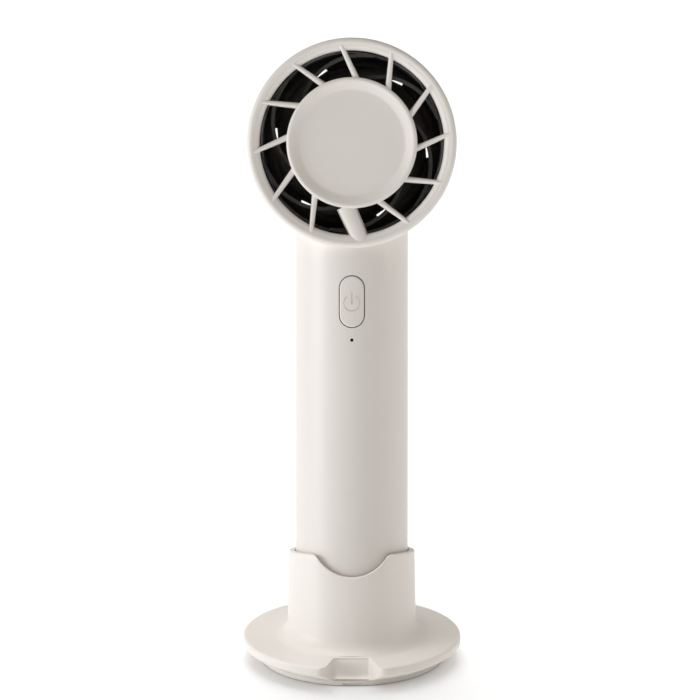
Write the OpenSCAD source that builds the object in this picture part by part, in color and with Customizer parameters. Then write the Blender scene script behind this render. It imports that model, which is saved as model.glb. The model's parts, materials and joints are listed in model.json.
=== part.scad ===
// Handheld electric fan standing in its round desk stand.
// Millimetres. +Z up, the table is z = 0, the fan faces -Y and leans back towards +Y.
// Every sub-part is one module and one named node.

/* [Stand] */
// Backward lean of the fan in the stand, degrees
lean = 12; // [6:0.5:18]
// Radius of the stand's disc
disc_r = 36; // [33:0.5:42]
// Height of the disc's top face above the table
disc_top = 7.6; // [6:0.1:10]
// Height of the disc's lower rim edge above the table
rim_low = 4.8; // [2.5:0.1:5]
// Rounding of the disc's top edge
disc_edge = 0.9; // [0.5:0.1:3.5]
// Radius of the set-back foot under the disc
foot_r = 30.5; // [27:0.1:34]
// Height of the cup's rim along the fan's axis, from the disc's top face
cup_h = 27.7; // [20:0.1:40]
// Outer radius of the cup at its rim
cup_r = 20.8; // [20:0.1:24]
// Gap between the handle and the cup's bore
cup_gap = 0.4; // [0.3:0.05:1]
// Radius of the flare where the cup meets the disc
flare_r = 4.8; // [2:0.1:8]
// Depth of the finger scallops in the cup's rim
scallop_depth = 7; // [3:0.1:12]
// Radius of the finger scallops
scallop_r = 13.5; // [10:0.5:16]
// Half width of the front notch at its inner wall
notch_in = 5.9; // [4:0.1:8]
// Half width of the front notch at the disc's rim
notch_out = 9.7; // [6:0.1:12]
// Distance from the disc's centre to the notch's inner wall
notch_wall_y = 24.7; // [24:0.1:28]

/* [Handle] */
// Outer radius of the handle
handle_r = 18.5; // [16:0.1:20]
// Wall thickness of the housing
wall = 1.8; // [1.4:0.1:2.4]
// Height of the button's centre along the handle
button_z = 110.5; // [100:0.1:116]
// Width of the button
button_w = 7.9; // [7:0.1:10]
// Length of the button
button_l = 16.6; // [14:0.1:20]
// Gap between the button and its slot
button_gap = 0.3; // [0.3:0.05:0.6]
// Height of the indicator hole along the handle
lamp_z = 98; // [94:0.1:99.5]
// Height of the charging port along the handle
port_z = 33; // [31:0.5:36]

/* [Head] */
// Height of the head's centre along the handle
head_z = 162; // [156:0.5:175]
// Outer radius of the head
head_r = 34; // [32:0.1:40]
// Width of the groove along the shells' seam
seam_w = 0.3; // [0.1:0.05:0.5]
// Depth of the groove along the shells' seam
seam_deep = 0.3; // [0.1:0.05:0.5]
// Radius of the air outlet
outlet_r = 29.9; // [28:0.1:34]
// Front of the bezel, forward of the handle's axis
bezel_front = 20.5; // [19:0.1:23]
// Back of the head, behind the handle's axis
head_back = 19.5; // [18.5:0.1:23]
// Radius of the air inlet at the back
inlet_r = 27.5; // [20:0.1:27.5]
// Outer radius of the guard's hub
hub_r = 21.2; // [18:0.1:23]
// Radius of the flat middle of the hub cap
panel_r = 16.8; // [14:0.1:18]

/* [Guard and impeller] */
// Ribs of the guard, the wide one included
rib_count = 12; // [8:1:18]
// Width of a thin rib
rib_w = 1.45; // [1:0.05:2]
// Width of the wire-carrying rib
wide_rib_w = 5; // [4:0.1:6]
// Angle by which a rib's inner end trails its outer end
rib_sweep = 11.5; // [0:0.5:20]
// Blades of the impeller
blade_count = 6; // [4:1:9]
// Turn of a blade from its front edge to its rear edge
blade_twist = 56; // [30:1:70]
// Gap between the blade tips and the duct
tip_gap = 0.6; // [0.4:0.05:1.2]

/* [Hidden] */
eps = 0.02;
fit = 0.05;
fine = 96;
bore_r = handle_r + cup_gap;
inner_r = handle_r - wall;
floor_z = 0.95;
cap_low = 1;
shell_low = 4;
plate_low = 0.2;
pad_high = 0.6;
plate_top = 1.7;
skirt_in = foot_r - 2;
hollow_top = 5.6;
seat_front = 16.5;
drum_in = head_r - 2;
duct_out = drum_in - fit;
duct_front = 14.5;
duct_back = -11.4;
rear_round = 6;
cell_y = 5;
cell_r = 9.2;
cell_low = 40;
cell_high = 105;
board_front = -8;
board_back = -7;
board_low = 91;
board_high = 126.5;
usb_board_y = 8.5;
rib_step = 360 / rib_count;
rib_in_r = hub_r - 0.3;
rib_out_r = 31.4;
rib_front = 19.7;
wide_rib_at = -84;
wide_rib_depth = 5.2;
notch_slope = atan2(notch_out - 1 - notch_in, disc_r - 1.8 - notch_wall_y);
shaft_r = 1;

// Places children in the fan's own frame: z along the handle, y to the back.
module in_fan() {
    translate([0, 0, disc_top])
        rotate([-lean, 0, 0])
            children();
}

// Places children in the head's frame: z forward along the impeller's axis, y along the handle.
module in_head() {
    in_fan()
        translate([0, 0, head_z])
            rotate([90, 0, 0])
                children();
}

// Cylinder along the fan's y axis between two depths.
module across(r, y0, y1) {
    translate([0, y1, 0])
        rotate([90, 0, 0])
            cylinder(r = r, h = y1 - y0, $fn = fine);
}

// Flat outline with round ends, upright.
module pill(w, l) {
    translate([0, (l - w) / 2])
        circle(d = w, $fn = 64);
    translate([0, (w - l) / 2])
        circle(d = w, $fn = 64);
    square([w, l - w], center = true);
}

// Upright prism with round ends, between two depths of the fan's frame.
module pill_block(w, l, y0, y1) {
    translate([0, y1, 0])
        rotate([90, 0, 0])
            linear_extrude(height = y1 - y0)
                pill(w, l);
}

// Tube between two heights.
module pipe(ro, ri, z0, z1) {
    difference() {
        translate([0, 0, z0])
            cylinder(r = ro, h = z1 - z0, $fn = fine);
        translate([0, 0, z0 - 1])
            cylinder(r = ri, h = z1 - z0 + 2, $fn = fine);
    }
}

// Straight round wire between two points.
module wire(a, b, r) {
    d = b - a;
    len = norm(d);
    translate(a)
        rotate([0, acos(d[2] / len), atan2(d[1], d[0])])
            cylinder(r = r, h = len, $fn = 24);
}

// Wire along a list of points, with a slightly fuller bend at each corner.
module wire_run(pts, r) {
    last = len(pts) - 1;
    for (i = [0 : last - 1])
        wire(pts[i], pts[i + 1], r);
    for (i = [1 : last - 1])
        translate(pts[i])
            sphere(r = 1.25 * r, $fn = 24);
}

// ---------------------------------------------------------------- stand

// Disc with a rounded top edge, a thin rim and an underside sloping in to the foot.
module disc_solid() {
    cy = disc_top - disc_edge;
    cx = disc_r - disc_edge;
    rotate_extrude($fn = 128)
        union() {
            polygon([
                [0, plate_top], [foot_r, plate_top], [disc_r - 0.3, rim_low],
                [disc_r, rim_low + 0.3], [disc_r, cy], [cx, cy], [cx, disc_top], [0, disc_top]
            ]);
            intersection() {
                translate([cx, cy])
                    circle(r = disc_edge, $fn = 96);
                translate([cx - eps, cy - eps])
                    square([disc_edge + 1, disc_edge + 1]);
            }
        }
}

// Rings of the flare, from the disc's top face up to the leaning cup.
module flare() {
    steps = 8;
    around = 96;
    r0 = cup_r + 0.35;
    pts = [for (i = [0 : steps])
        let (t = i / steps, up = flare_r * (1 - cos(90 * t)),
             out = flare_r * (1 - sin(90 * t)))
        for (k = [0 : around - 1])
            let (a = k * 360 / around)
            [(r0 + out) * cos(a),
             (r0 / cos(lean) + out) * sin(a) + up * tan(lean),
             disc_top + up - (i == 0 ? 0.6 : 0)]];
    sides = [for (i = [0 : steps - 1])
        for (k = [0 : around - 1])
            [i * around + k, (i + 1) * around + k,
             (i + 1) * around + (k + 1) % around, i * around + (k + 1) % around]];
    low = [[for (k = [0 : around - 1]) k]];
    high = [[for (k = [around - 1 : -1 : 0]) steps * around + k]];
    polyhedron(points = pts, faces = concat(low, sides, high));
}

// Outside of the leaning cup, with a rounded rim.
module cup_outside() {
    in_fan()
        rotate_extrude($fn = 128)
            union() {
                polygon([
                    [0, -1.5], [cup_r + 0.4, -1.5], [cup_r + 0.4, 0],
                    [cup_r, cup_h - 1.1], [0, cup_h - 1.1]
                ]);
                translate([0, cup_h - 1.2])
                    square([cup_r - 1.1, 1.2]);
                intersection() {
                    translate([cup_r - 1.1, cup_h - 1.1])
                        circle(r = 1.1, $fn = 64);
                    translate([cup_r - 1.2, cup_h - 1.2])
                        square(2);
                }
            }
}

// Outline of one scallop, with eased shoulders.
module scallop_outline() {
    ease = 2;
    cz = cup_h - scallop_depth + scallop_r;
    sx = sqrt(pow(scallop_r + ease, 2) - pow(cz - cup_h + ease, 2));
    tz = cz - (cz - cup_h + ease) * scallop_r / (scallop_r + ease);
    translate([0, cz])
        circle(r = scallop_r, $fn = 128);
    difference() {
        translate([-sx, tz])
            square([2 * sx, 6]);
        translate([-sx, cup_h - ease + 0.02])
            circle(r = ease, $fn = 64);
        translate([sx, cup_h - ease + 0.02])
            circle(r = ease, $fn = 64);
    }
}

// Points along an arc between two angles.
function arc_points(c, r, a0, a1) = [for (i = [0 : 8])
    let (a = a0 + (a1 - a0) * i / 8)
    [c[0] + r * cos(a), c[1] + r * sin(a)]];

// Right side of the notch: rounded inner corner, sloped side and flared outer corner.
function notch_side() =
    let (inner = 1.2, outer = 2.6, run = disc_r - 2.6 - 0.7 - notch_wall_y,
         side = [sin(notch_slope), -cos(notch_slope)],
         out = [cos(notch_slope), sin(notch_slope)],
         a = [notch_in + inner * tan(notch_slope) - inner / cos(notch_slope),
              -notch_wall_y - inner],
         b = [notch_in, -notch_wall_y] + run * side + outer * out)
    concat(arc_points(a, inner, 90, notch_slope),
           arc_points(b, outer, 180 + notch_slope, 360 + atan2(b[1], b[0])),
           [[b[0] + 1, -disc_r - 3]]);

// Outline of the front notch, cut through the disc's front.
module notch_outline() {
    side = notch_side();
    last = len(side) - 1;
    polygon(concat(side, [for (i = [last : -1 : 0]) [-side[i][0], side[i][1]]]));
}

// Outline of the notch's walls inside the hollow disc.
module notch_walls() {
    wy = notch_wall_y - 1.6;
    polygon([
        [-notch_in - 1.6, -wy], [notch_in + 1.6, -wy], [notch_out + 2.4, -disc_r + 2],
        [notch_out + 2.4, -disc_r - 2], [-notch_out - 2.4, -disc_r - 2],
        [-notch_out - 2.4, -disc_r + 2]
    ]);
}

// Cove that carries the notch's inner wall down and out to the foot.
module notch_runout() {
    translate([-notch_in - 1.8, 0, 0])
        rotate([90, 0, 90])
            linear_extrude(height = 2 * notch_in + 3.6)
                polygon([
                    [-notch_wall_y + 0.3, plate_top], [-notch_wall_y + 0.3, 4.9],
                    [-notch_wall_y - 0.3, 3.9], [-notch_wall_y - 1, 3.1],
                    [-notch_wall_y - 2, 2.45], [-notch_wall_y - 3.2, 2.05],
                    [-foot_r + 1.3, 1.85], [-foot_r + 1.3, plate_top]
                ]);
}

// Moulded top of the stand: disc, flare and cup.
module stand_cup() {
    color([0.86, 0.84, 0.81]) {
    difference() {
        union() {
            difference() {
                disc_solid();
                difference() {
                    translate([0, 0, plate_top - 1])
                        cylinder(r = skirt_in, h = hollow_top - plate_top + 1, $fn = fine);
                    linear_extrude(height = 12)
                        notch_walls();
                }
            }
            flare();
            intersection() {
                cup_outside();
                translate([0, 0, 1.75])
                    cylinder(r = 60, h = 60);
            }
            for (a = [45 : 90 : 315])
                rotate([0, 0, a])
                    translate([25.6, 0, plate_top])
                        cylinder(r = 2.3, h = hollow_top - plate_top + eps, $fn = 48);
        }
        in_fan()
            translate([0, 0, floor_z])
                cylinder(r = bore_r, h = 60, $fn = 128);
        in_fan()
            translate([0, 40, 0])
                rotate([90, 0, 0])
                    linear_extrude(height = 80)
                        scallop_outline();
        translate([0, 0, -1])
            linear_extrude(height = 12)
                notch_outline();
        for (a = [45 : 90 : 315])
            rotate([0, 0, a])
                translate([25.6, 0, plate_top - 0.1])
                    cylinder(r = 0.9, h = 3.1, $fn = 32);
    }
    notch_runout();
    }
}

// Plastic plate that closes the stand from below.
module stand_base_plate() {
    color([0.84, 0.82, 0.79])
    difference() {
        translate([0, 0, plate_low])
            cylinder(r = foot_r, h = plate_top - plate_low, $fn = 128);
        for (a = [45 : 90 : 315])
            rotate([0, 0, a])
                translate([25.6, 0, 0]) {
                    cylinder(r = 1.1, h = 4, $fn = 32);
                    translate([0, 0, -1])
                        cylinder(r = 2, h = 2.1, $fn = 48);
                }
        translate([0, 0, -1])
            cylinder(r = 23, h = pad_high + 1, $fn = fine);
        translate([-3, -foot_r - 1, plate_low - 1])
            cube([6, 1.7, 1.9]);
    }
}

// Non-slip rubber pad the stand rests on, with a shallow ring groove.
module stand_foot_pad() {
    color([0.2, 0.2, 0.2])
    difference() {
        cylinder(r = 22.8, h = pad_high, $fn = fine);
        pipe(20.6, 19.8, -1, 0.2);
    }
}

// Screws that hold the plate to the moulded top.
module stand_screws() {
    color([0.6, 0.6, 0.6])
    for (a = [45 : 90 : 315])
        rotate([0, 0, a])
            translate([25.6, 0, 0]) {
                difference() {
                    translate([0, 0, 0.3])
                        cylinder(r = 1.8, h = 0.8, $fn = 32);
                    for (k = [0, 90])
                        rotate([0, 0, k])
                            translate([-1.1, -0.2, 0])
                                cube([2.2, 0.4, 0.6]);
                }
                translate([0, 0, 1])
                    cylinder(r = 0.9, h = 3, $fn = 32);
            }
}

// ---------------------------------------------------------------- housing

// Outer profile of the head's drum, from the seat of the bezel to the rounded back.
module drum_outside() {
    rotate_extrude($fn = 128)
        union() {
            translate([0, -head_back + rear_round])
                square([head_r, head_back - rear_round + seat_front]);
            translate([0, -head_back])
                square([head_r - rear_round, head_back]);
            translate([head_r - rear_round, -head_back + rear_round])
                intersection() {
                    circle(r = rear_round, $fn = 128);
                    translate([-eps, -20])
                        square([20, 20 + eps]);
                }
        }
}

// Hollow of the drum, open to the front, with the inlet at the back.
module drum_inside() {
    t = 2;
    rotate_extrude($fn = 128)
        union() {
            translate([0, -head_back + rear_round])
                square([head_r - t, head_back - rear_round + seat_front + 10]);
            translate([0, -head_back + t])
                square([head_r - rear_round, head_back]);
            translate([head_r - rear_round, -head_back + rear_round])
                intersection() {
                    circle(r = rear_round - t, $fn = 128);
                    translate([-eps, -20])
                        square([20, 20 + eps]);
                }
            translate([0, -head_back - 2])
                square([inlet_r, 10]);
        }
}

// Whole housing before it is split into its two shells.
module housing() {
    difference() {
        union() {
            translate([0, 0, shell_low])
                cylinder(r = handle_r, h = head_z - 18 - shell_low, $fn = 128);
            translate([0, 0, head_z])
                rotate([90, 0, 0])
                    drum_outside();
        }
        translate([0, 0, shell_low - 1])
            cylinder(r = inner_r, h = head_z - 25 - shell_low, $fn = 128);
        translate([0, 0, head_z])
            rotate([90, 0, 0]) {
                drum_inside();
                translate([0, 0, seat_front])
                    cylinder(r = head_r, h = 20, $fn = 128);
                pipe(head_r + 1, head_r - seam_deep, -seam_w / 2, seam_w / 2);
            }
        for (s = [-1, 1])
            translate([s * (handle_r + 1 - seam_deep) - 1, -seam_w / 2, shell_low - 1])
                cube([2, seam_w, head_z - head_r - shell_low + 3.5]);
    }
}

// Post along the fan's y axis, at a given x and height.
module post(x, z, r, y0, y1) {
    translate([x, 0, z])
        across(r, y0, y1);
}

// Front half of the housing with the slot, the lamp hole and the screw posts.
module front_shell() {
    color([0.87, 0.85, 0.82])
    in_fan()
    difference() {
        union() {
            intersection() {
                housing();
                translate([-50, -60, 0])
                    cube([100, 60, 220]);
            }
            intersection() {
                union() {
                    for (s = [-1, 1]) {
                        post(s * 8.4, 124, 1.9, -17, board_front);
                        post(s * 8.4, 93.5, 1.9, -17, board_front);
                        post(s * 12.6, 50, 2, -17, -1);
                        post(s * 12.6, 86, 2, -17, -1);
                    }
                }
                translate([0, 0, shell_low])
                    cylinder(r = inner_r + 0.5, h = 130, $fn = fine);
            }
        }
        translate([0, 0, button_z])
            pill_block(button_w + 2 * button_gap, button_l + 2 * button_gap, -25, -12);
        post(0, lamp_z, 0.55, -25, -12);
        for (s = [-1, 1]) {
            post(s * 8.4, 124, 0.7, -13, board_front + 1);
            post(s * 8.4, 93.5, 0.7, -13, board_front + 1);
            post(s * 12.6, 50, 0.7, -8, 1);
            post(s * 12.6, 86, 0.7, -8, 1);
        }
    }
}

// Rear half of the housing with the charging port's slot.
module rear_shell() {
    color([0.86, 0.84, 0.81])
    in_fan()
    difference() {
        intersection() {
            housing();
            translate([-50, 0, 0])
                cube([100, 60, 220]);
        }
        translate([0, 0, port_z])
            rotate([0, 90, 0])
                pill_block(3.7, 9.5, 10, 30);
    }
}

// Round cap that closes the bottom of the handle.
module bottom_cap() {
    color([0.86, 0.84, 0.81])
    in_fan()
        rotate_extrude($fn = 128)
            union() {
                translate([0, cap_low])
                    square([handle_r - 1, 2]);
                translate([0, cap_low + 1])
                    square([handle_r, shell_low - cap_low - 1]);
                translate([handle_r - 1, cap_low + 1])
                    circle(r = 1, $fn = 48);
                translate([0, shell_low - eps])
                    square([inner_r - fit, 2]);
            }
}

// ---------------------------------------------------------------- guard

// Bezel ring with a dished face, outer rounding and a skirt that plugs into the drum.
module bezel_ring() {
    round = 1.3;
    rotate_extrude($fn = 128)
        union() {
            polygon([
                [outlet_r, duct_front], [drum_in - fit, duct_front],
                [drum_in - fit, seat_front], [head_r, seat_front],
                [head_r, bezel_front - round],
                [head_r - round, bezel_front], [outlet_r + 0.35, bezel_front - 1.7],
                [outlet_r, bezel_front - 2.1]
            ]);
            translate([head_r - round, bezel_front - round])
                circle(r = round, $fn = 64);
        }
}

// Point on a rib's centre line, from its hub end at 0 to its bezel end at 1.
function rib_point(at, t) =
    let (p = rib_in_r * [cos(at - rib_sweep), sin(at - rib_sweep)],
         q = rib_out_r * [cos(at), sin(at)])
    p + t * (q - p);

// Places children at a rib's hub end, with x along the rib and z forward.
module along_rib(at) {
    p = rib_point(at, 0);
    run = rib_point(at, 1) - p;
    translate([p[0], p[1], 0])
        rotate([0, 0, atan2(run[1], run[0])])
            children();
}

// One guard rib from the hub to the bezel, with a round front.
module rib(w, depth, at) {
    along_rib(at)
        rotate([90, 0, 90])
            linear_extrude(height = norm(rib_point(at, 1) - rib_point(at, 0))) {
                translate([0, rib_front - w / 2])
                    circle(d = w, $fn = 48);
                translate([-w / 2, rib_front - depth])
                    square([w, depth - w / 2]);
            }
}

// Guard: bezel, ribs and hub moulded together.
module front_guard() {
    color([0.86, 0.84, 0.81])
    in_head()
    difference() {
        union() {
            bezel_ring();
            for (k = [0 : rib_count - 1])
                if (k > 0)
                    rib(rib_w, 3, wide_rib_at + k * rib_step);
            rib(wide_rib_w, wide_rib_depth, wide_rib_at);
            rotate_extrude($fn = 128)
                union() {
                    polygon([
                        [18.9, 10], [hub_r, 10], [hub_r, 19.8], [20.3, 20.7],
                        [19.9, 20.6], [18.9, 20.05]
                    ]);
                    intersection() {
                        translate([hub_r - 0.9, 19.8])
                            circle(r = 0.9, $fn = 64);
                        translate([18.9, 18])
                            square(4);
                    }
                    translate([4, 10])
                        square([15, 1.5]);
                }
        }
        along_rib(wide_rib_at) {
            translate([-7, -1.4, 15])
                cube([19, 2.8, 1.6]);
            translate([10.6, -2.2, 14])
                cube([2.6, 4.4, 2.6]);
            translate([-8.6, -1.6, 9])
                cube([4, 3.2, 4]);
        }
        for (a = [30 : 120 : 270])
            rotate([0, 0, a])
                translate([8, 0, 9])
                    cylinder(r = 0.9, h = 5, $fn = 32);
        translate([0, 0, 20.95])
            cylinder(r = 40, h = 3);
    }
}

// Dished cap over the motor's screws.
module hub_cap() {
    color([0.85, 0.83, 0.80])
    in_head()
    rotate_extrude($fn = 128)
        polygon([
            [0, 17.2], [18.9 - fit, 17.2], [18.9 - fit, 20.02], [17.6, 19.42],
            [17.2, 19.26], [panel_r, 19.2], [0, 19.2]
        ]);
}

// Black duct around the impeller.
module duct_ring() {
    color([0.03, 0.03, 0.03])
    in_head()
        pipe(duct_out, outlet_r, duct_back, duct_front);
}

// Flat ring outline.
module ring_outline(ro, ri) {
    difference() {
        circle(r = ro, $fn = 128);
        circle(r = ri, $fn = 128);
    }
}

// Inlet grille at the back of the head, held by a flange behind the wall.
module rear_grille() {
    rim = inlet_r - 1.1;
    color([0.85, 0.83, 0.80])
    in_head()
    translate([0, 0, -head_back]) {
        linear_extrude(height = 2) {
            ring_outline(19.4, 18.2);
            ring_outline(13.2, 12);
            circle(r = 7, $fn = 64);
            for (k = [0 : 11])
                rotate([0, 0, 9 + k * 30])
                    translate([6.5, -0.6])
                        square([rim - 6, 1.2]);
        }
        rotate_extrude($fn = 128)
            polygon([
                [rim, 0], [inlet_r - fit, 0], [inlet_r - fit, 2 + fit], [28.2, 2 + fit],
                [28.2, 3.2], [rim, 3.2]
            ]);
    }
}

// ---------------------------------------------------------------- motor

// Motor mount with the tube that carries the bearings.
module motor_base() {
    color([0.75, 0.75, 0.77])
    in_head()
    difference() {
        union() {
            translate([0, 0, 8.8])
                cylinder(r = 10.5, h = 1.2, $fn = 64);
            cylinder(r = 3.2, h = 12.5, $fn = 48);
        }
        translate([0, 0, -1])
            cylinder(r = 2.5, h = 15, $fn = 48);
        for (a = [30 : 120 : 270])
            rotate([0, 0, a])
                translate([8, 0, 8])
                    cylinder(r = 0.9, h = 4, $fn = 32);
    }
}

// Screws that hold the motor mount to the guard's hub.
module motor_screws() {
    color([0.6, 0.6, 0.6])
    in_head()
    for (a = [30 : 120 : 270])
        rotate([0, 0, a])
            translate([8, 0, 0]) {
                translate([0, 0, 8.8])
                    cylinder(r = 0.9, h = 2.8, $fn = 32);
                translate([0, 0, 11.5])
                    cylinder(r = 1.6, h = 1, $fn = 32);
            }
}

// Ring and poles of the stator.
module motor_stator() {
    color([0.45, 0.45, 0.47])
    in_head()
    difference() {
        union() {
            translate([0, 0, 1.5])
                cylinder(r = 5, h = 5, $fn = 64);
            for (k = [0 : 8])
                rotate([0, 0, k * 40]) {
                    translate([4, -0.8, 1.5])
                        cube([5.4, 1.6, 5]);
                    translate([9, -2.4, 1.5])
                        cube([1.2, 4.8, 5]);
                }
        }
        cylinder(r = 3.2, h = 12, $fn = 48);
        difference() {
            cylinder(r = 14, h = 9);
            translate([0, 0, -1])
                cylinder(r = 10.2, h = 11, $fn = 96);
        }
    }
}

// Copper windings, one around each pole.
module motor_coils() {
    color([0.72, 0.42, 0.2])
    in_head()
    for (k = [0 : 8])
        rotate([0, 0, k * 40])
            translate([5.6, 0, 0])
                difference() {
                    translate([0, -1.3, 0.9])
                        cube([3.3, 2.6, 6.2]);
                    translate([-1, -0.8, 1.5])
                        cube([6, 1.6, 5]);
                }
}

// Ring board between the stator and the mount.
module motor_board() {
    color([0.1, 0.3, 0.18])
    in_head()
        pipe(10, 3.2, 7.8, 8.8);
}

// Two bearings inside the mount's tube.
module motor_bearings() {
    color([0.7, 0.7, 0.72])
    in_head() {
        pipe(2.5, shaft_r + 0.05, 0.2, 2.7);
        pipe(2.5, shaft_r + 0.05, 9.4, 11.9);
    }
}

// Three wires from the ring board through the wide rib down to the main board.
module motor_wires() {
    start = rib_point(wide_rib_at, -0.565);
    run = rib_point(wide_rib_at, 1) - rib_point(wide_rib_at, 0);
    beside = [-run[1], run[0]] / norm(run);
    color([0.7, 0.1, 0.08])
    in_head()
    for (i = [-1 : 1]) {
        a = atan2(start[1], start[0]) + i * 3.4;
        low = start + i * 0.95 * beside;
        far = rib_point(wide_rib_at, 1) + i * 0.95 * beside;
        wire_run([
            [10.05 * cos(a), 10.05 * sin(a), 8.3],
            [low[0], low[1], 8.3],
            [low[0], low[1], 15.8],
            [far[0], far[1], 15.8],
            [i * 1.4 + 2, -36, 12],
            [i * 1.4, -38.2, 8.6]
        ], 0.35);
    }
}

// One blade outline at the rear: a thin curved strip from the hub to the tip.
module blade_outline() {
    n = 6;
    r0 = 19.6;
    r1 = outlet_r - tip_gap;
    half = 0.55;
    function turn(t) = -42 * pow(t, 1.15);
    one = [for (i = [0 : n])
        let (t = i / n, r = r0 + (r1 - r0) * t, a = turn(t) + half * 57.3 / r)
        [r * cos(a), r * sin(a)]];
    two = [for (i = [n : -1 : 0])
        let (t = i / n, r = r0 + (r1 - r0) * t, a = turn(t) - half * 57.3 / r)
        [r * cos(a), r * sin(a)]];
    polygon(concat(one, two));
}

// Impeller: blades around a cup that covers the rotor.
module impeller() {
    color([0.02, 0.02, 0.02])
    in_head() {
        difference() {
            translate([0, 0, -7])
                cylinder(r = 20.2, h = 16.2, $fn = fine);
            translate([0, 0, -5.2])
                cylinder(r = 18.6, h = 20, $fn = fine);
            translate([0, 0, -9])
                cylinder(r = shaft_r, h = 6, $fn = 32);
        }
        difference() {
            translate([0, 0, -6])
                cylinder(r = 4, h = 3.5, $fn = 48);
            translate([0, 0, -9])
                cylinder(r = shaft_r, h = 9, $fn = 32);
        }
        difference() {
            translate([0, 0, -6])
                cylinder(r = 15, h = 6.5, $fn = 64);
            translate([0, 0, -7])
                cylinder(r = 13.2, h = 9, $fn = 64);
        }
        for (k = [0 : blade_count - 1])
            rotate([0, 0, k * 360 / blade_count + 125 + blade_twist])
                translate([0, 0, -6.6])
                    linear_extrude(height = 15.4, twist = blade_twist, slices = 10)
                        blade_outline();
    }
}

// Steel can that carries the magnets, pressed on the shaft.
module rotor_can() {
    color([0.65, 0.65, 0.67])
    in_head()
    difference() {
        translate([0, 0, -2.5])
            cylinder(r = 13.2, h = 10, $fn = 64);
        translate([0, 0, -1.5])
            cylinder(r = 12.2, h = 12, $fn = 64);
        translate([0, 0, -5])
            cylinder(r = shaft_r, h = 9, $fn = 32);
    }
}

// Ring of magnet segments inside the can.
module rotor_magnets() {
    color([0.25, 0.25, 0.26])
    in_head()
    difference() {
        pipe(12.2 - fit, 10.7, 0.8, 7.2);
        for (k = [0 : 5])
            rotate([0, 0, k * 30])
                translate([-20, -0.15, 0])
                    cube([40, 0.3, 12]);
    }
}

// Steel shaft.
module motor_shaft() {
    color([0.75, 0.75, 0.77])
    in_head()
        translate([0, 0, -8])
            cylinder(r = shaft_r, h = 21.3, $fn = 48);
}

// Retaining clip at the front end of the shaft.
module shaft_clip() {
    color([0.3, 0.3, 0.32])
    in_head()
    difference() {
        pipe(2.1, shaft_r, 12.55, 13.05);
        translate([0, -0.5, 12])
            cube([5, 1, 3]);
    }
}

// ---------------------------------------------------------------- button and boards

// Push button with a raised face, a flange inside the wall and a stem.
module power_button() {
    color([0.87, 0.85, 0.82])
    in_fan()
    difference() {
        union() {
            intersection() {
                translate([0, 0, button_z])
                    pill_block(button_w, button_l, -20, -15.2);
                cylinder(r = handle_r + 0.2, h = 200, $fn = 128);
            }
            translate([0, 0, button_z])
                pill_block(button_w + 1.8, button_l + 1.8, -15.4, -14.4);
            post(0, button_z, 1.6, -14.6, -12.3);
        }
        difference() {
            post(0, button_z - 0.4, 2.75, -20, -18.4);
            post(0, button_z - 0.4, 2.35, -21, -18);
            translate([-1.4, -21, button_z - 0.4])
                cube([2.8, 5, 4]);
        }
        translate([-0.2, -20, button_z - 0.8])
            cube([0.4, 1.6, 3.9]);
    }
}

// Sprung plunger of the switch.
module switch_plunger() {
    color([0.1, 0.1, 0.1])
    in_fan()
        post(0, button_z, 1.6, -12.3, -10.6);
}

// Body of the switch on the main board.
module switch_body() {
    color([0.25, 0.25, 0.26])
    in_fan()
    difference() {
        translate([-3, -11.5, button_z - 3])
            cube([6, 3.5, 6]);
        post(0, button_z, 1.95, -13, -9.6);
    }
}

// Main circuit board behind the button.
module main_board() {
    color([0.08, 0.3, 0.16])
    in_fan()
    difference() {
        translate([-11, board_front, board_low])
            cube([22, board_back - board_front, board_high - board_low]);
        for (s = [-1, 1]) {
            post(s * 8.4, 124, 0.9, -12, 0);
            post(s * 8.4, 93.5, 0.9, -12, 0);
        }
    }
}

// Controller, charger and coil on the back of the main board.
module board_chips() {
    color([0.06, 0.06, 0.07])
    in_fan() {
        translate([-2.5, board_back, 109])
            cube([5, 1.1, 5]);
        translate([-8, board_back, 113.5])
            cube([4, 2, 4]);
        translate([4, board_back, 101])
            cube([4, 1.4, 3]);
        translate([-7, board_back, 99])
            cube([3, 0.9, 2]);
    }
}

// Screws of the main board.
module board_screws() {
    color([0.6, 0.6, 0.6])
    in_fan()
    for (s = [-1, 1])
        for (z = [93.5, 124]) {
            post(s * 8.4, z, 0.7, -12, board_back);
            post(s * 8.4, z, 1.5, board_back, board_back + 1);
        }
}

// Indicator lamp chip on the main board.
module indicator_led() {
    color([0.9, 0.9, 0.8])
    in_fan()
        translate([-0.8, board_front - 0.7, lamp_z - 0.5])
            cube([1.6, 0.7, 1]);
}

// Smoky light pipe in the indicator hole.
module indicator_lens() {
    color([0.05, 0.05, 0.05])
    in_fan() {
        post(0, lamp_z, 0.55, -18.3, -15);
        post(0, lamp_z, 1.1, -15, -10.5);
    }
}

// Small board that carries the charging port.
module charge_board() {
    color([0.08, 0.3, 0.16])
    in_fan()
        translate([-8, usb_board_y, 22])
            cube([16, 1, 15.5]);
}

// Steel shell of the USB-C port.
module usb_c_shell() {
    color([0.75, 0.75, 0.77])
    in_fan()
    translate([0, 0, port_z])
        rotate([0, 90, 0])
            difference() {
                pill_block(3.26, 8.94, usb_board_y + 1, 18);
                pill_block(2.66, 8.34, usb_board_y + 2, 19);
            }
}

// Tongue with the contacts inside the port.
module usb_c_tongue() {
    color([0.06, 0.06, 0.07])
    in_fan()
        translate([-3.3, usb_board_y + 2, port_z - 0.35])
            cube([6.6, 6.3, 0.7]);
}

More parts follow.
